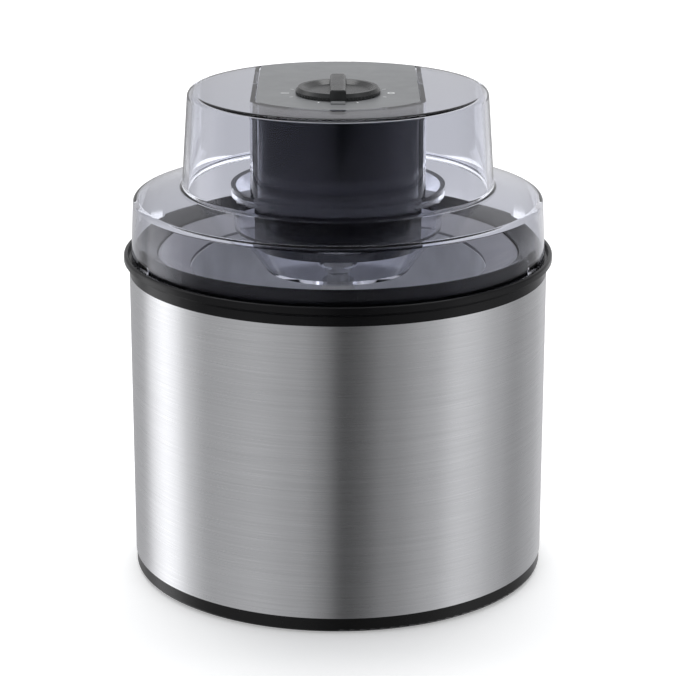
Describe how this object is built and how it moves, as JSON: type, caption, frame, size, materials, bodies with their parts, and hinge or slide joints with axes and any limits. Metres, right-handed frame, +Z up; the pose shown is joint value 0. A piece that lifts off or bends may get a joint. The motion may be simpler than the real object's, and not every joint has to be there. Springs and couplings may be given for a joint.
{
  "type": "ice cream maker",
  "caption": "Countertop ice cream maker: brushed steel drum, freezer bowl and paddle, clear two-tier lid holding a motor unit with a rotary knob.",
  "frame": {"origin": "centre of the underside, on the plane the feet rest on", "axes": "+Z up the drum's axis, +X to the right seen from the front, the front faces -Y"},
  "size_m": [0.2154, 0.2154, 0.253],
  "materials": {
    "brushed_steel": "fine horizontal brushing",
    "plated_steel": "bright zinc plate",
    "core_steel": "laminated, dull",
    "bowl_aluminium": "satin anodised",
    "bronze": "sintered bronze",
    "copper_wire": "enamelled wire",
    "ferrite": "dull ferrite",
    "black_rubber": "matte",
    "grey_rubber": "matte",
    "black_gloss_plastic": "high gloss",
    "black_plastic": "fine texture",
    "dark_plastic": "satin gloss",
    "knob_plastic": "satin with a glossy rim",
    "panel_grey_plastic": "satin",
    "clear_plastic": "clear, polished",
    "light_grey_plastic": "satin",
    "grey_liner_plastic": "matte",
    "natural_plastic": "matte",
    "gear_plastic": "matte",
    "white_plastic": "satin gloss",
    "white_print": "printed",
    "coolant_gel": "gel",
    "board_green": "lacquered",
    "lead_insulation": "smooth"
  },
  "bodies": {
    "stand": {"feet": "black_rubber", "base_cover": "black_plastic", "base_screws": "plated_steel", "steel_shell": "brushed_steel", "bucket": "grey_liner_plastic", "collar": "black_gloss_plastic"},
    "bowl": {"bowl_shell": "light_grey_plastic", "fill_plug": "grey_rubber", "bowl_liner": "bowl_aluminium", "bowl_coolant": "coolant_gel", "bowl_gasket": "grey_rubber", "bowl_rim": "grey_liner_plastic"},
    "paddle": {"paddle": "white_plastic"},
    "lid": {"lid_skirt": "clear_plastic", "lid_shoulder": "clear_plastic", "lid_tower": "clear_plastic", "lid_deck": "clear_plastic", "lid_pocket": "clear_plastic", "splash_cup": "clear_plastic"},
    "motor_unit": {"motor_housing": "dark_plastic", "control_panel": "panel_grey_plastic", "panel_marks": "white_print", "cable_gland": "black_rubber", "gear_frame": "natural_plastic", "gear_cover": "plated_steel", "gear_screws": "plated_steel", "idler_pins": "plated_steel", "lower_bush": "bronze", "upper_bush": "bronze", "motor_can": "plated_steel", "motor_cap": "natural_plastic", "motor_magnets": "ferrite", "motor_screws": "plated_steel", "switch_body": "black_plastic", "switch_nut": "plated_steel", "circuit_board": "board_green", "board_spacers": "natural_plastic", "bridge_rectifier": "black_plastic", "capacitor": "board_green", "inner_leads": "lead_insulation"},
    "knob": {"knob": "knob_plastic", "switch_shaft": "plated_steel"},
    "output": {"output_gear": "gear_plastic", "output_shaft": "plated_steel", "drive_collar": "white_plastic"},
    "idler_2": {"idler_gear_2": "gear_plastic"},
    "idler_1": {"idler_gear_1": "gear_plastic"},
    "rotor": {"armature_core": "core_steel", "armature_coils": "copper_wire", "motor_shaft": "plated_steel", "motor_pinion": "bronze"}
  },
  "joints": [
    {"name": "bowl_lift", "type": "slide", "parent": "stand", "child": "bowl", "axis": [0, 0, 1], "range_m": [0, 0.16]},
    {"name": "lid_lift", "type": "slide", "parent": "bowl", "child": "lid", "axis": [0, 0, 1], "range_m": [0, 0.08]},
    {"name": "motor_lift", "type": "slide", "parent": "lid", "child": "motor_unit", "axis": [0, 0, 1], "range_m": [0, 0.11]},
    {"name": "knob_turn", "type": "hinge", "parent": "motor_unit", "child": "knob", "pos_m": [0, -0.012, 0.249], "axis": [0, 0, 1], "range_deg": [-90, 90]},
    {"name": "output_spin", "type": "hinge", "parent": "motor_unit", "child": "output", "pos_m": [0, 0, 0.19], "axis": [0, 0, 1], "continuous": true},
    {"name": "paddle_spin", "type": "hinge", "parent": "bowl", "child": "paddle", "pos_m": [0, 0, 0.04], "axis": [0, 0, 1], "continuous": true},
    {"name": "idler_2_spin", "type": "hinge", "parent": "motor_unit", "child": "idler_2", "pos_m": [0.01838, 0.01543, 0.19], "axis": [0, 0, 1], "continuous": true},
    {"name": "idler_1_spin", "type": "hinge", "parent": "motor_unit", "child": "idler_1", "pos_m": [0.00836, 0.02738, 0.19], "axis": [0, 0, 1], "continuous": true},
    {"name": "rotor_spin", "type": "hinge", "parent": "motor_unit", "child": "rotor", "pos_m": [0, 0.03734, 0.19], "axis": [0, 0, 1], "continuous": true}
  ],
  "couplings": [
    {"joint": "output_spin", "follows": "paddle_spin", "ratio": 1},
    {"joint": "idler_2_spin", "follows": "paddle_spin", "ratio": -4},
    {"joint": "idler_1_spin", "follows": "paddle_spin", "ratio": 13.333},
    {"joint": "rotor_spin", "follows": "paddle_spin", "ratio": -44.444}
  ]
}
